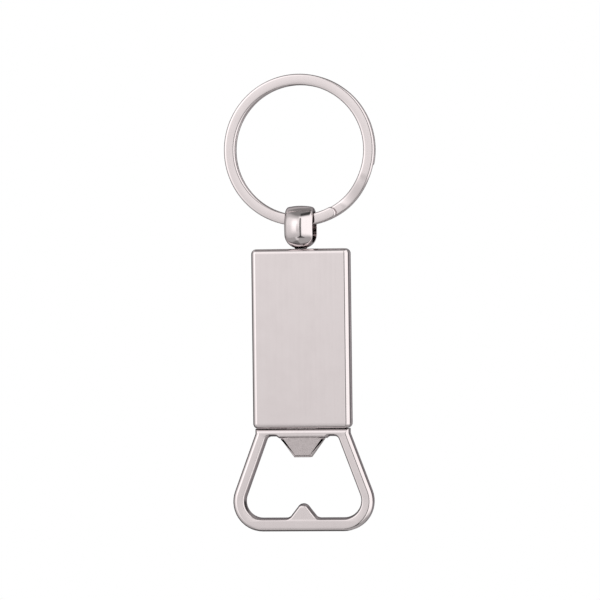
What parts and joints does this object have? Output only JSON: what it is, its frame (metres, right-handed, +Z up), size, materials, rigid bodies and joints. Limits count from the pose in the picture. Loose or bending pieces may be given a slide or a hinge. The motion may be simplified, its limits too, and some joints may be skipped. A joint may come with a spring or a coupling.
{
  "type": "keychain bottle opener",
  "caption": "Plated metal bottle opener for a keychain: a rectangular handle block with a toothed, bumped opener loop below and a swivelling barrel eye on a flat split ring above.",
  "frame": {"origin": "the hang point: the top of the inside of the split ring, on the middle plane of the handle", "axes": "+Z up along the object's length, from the opener loop to the split ring; the front face looks towards -Y; X runs across, along the hole of the swivel eye"},
  "size_m": [0.03, 0.0082, 0.0902],
  "materials": {
    "plated_casting": "bright nickel plate over a polished zinc casting, with fine handling scratches",
    "ring_wire": "bright nickel plate over flat spring steel wire",
    "tooth_steel": "satin rolled steel with sheared edges",
    "inner_steel": "plain bright steel"
  },
  "bodies": {
    "ring": {"split_ring": "ring_wire"},
    "eye": {"swivel_eye": "plated_casting", "swivel_washer": "inner_steel", "swivel_clip": "inner_steel"},
    "handle": {"front_cover": "plated_casting", "back_cover": "plated_casting", "opener_frame": "plated_casting", "cap_tooth": "tooth_steel", "tooth_pin_left": "inner_steel", "tooth_pin_right": "inner_steel"}
  },
  "joints": [
    {"name": "ring_swing", "type": "hinge", "parent": "ring", "child": "eye", "pos_m": [0, 0, -0.0267], "axis": [1, 0, 0], "range_deg": [-140, 140]},
    {"name": "swivel_spin", "type": "hinge", "parent": "eye", "child": "handle", "pos_m": [0, 0, -0.0323], "axis": [0, 0, 1], "continuous": true}
  ]
}
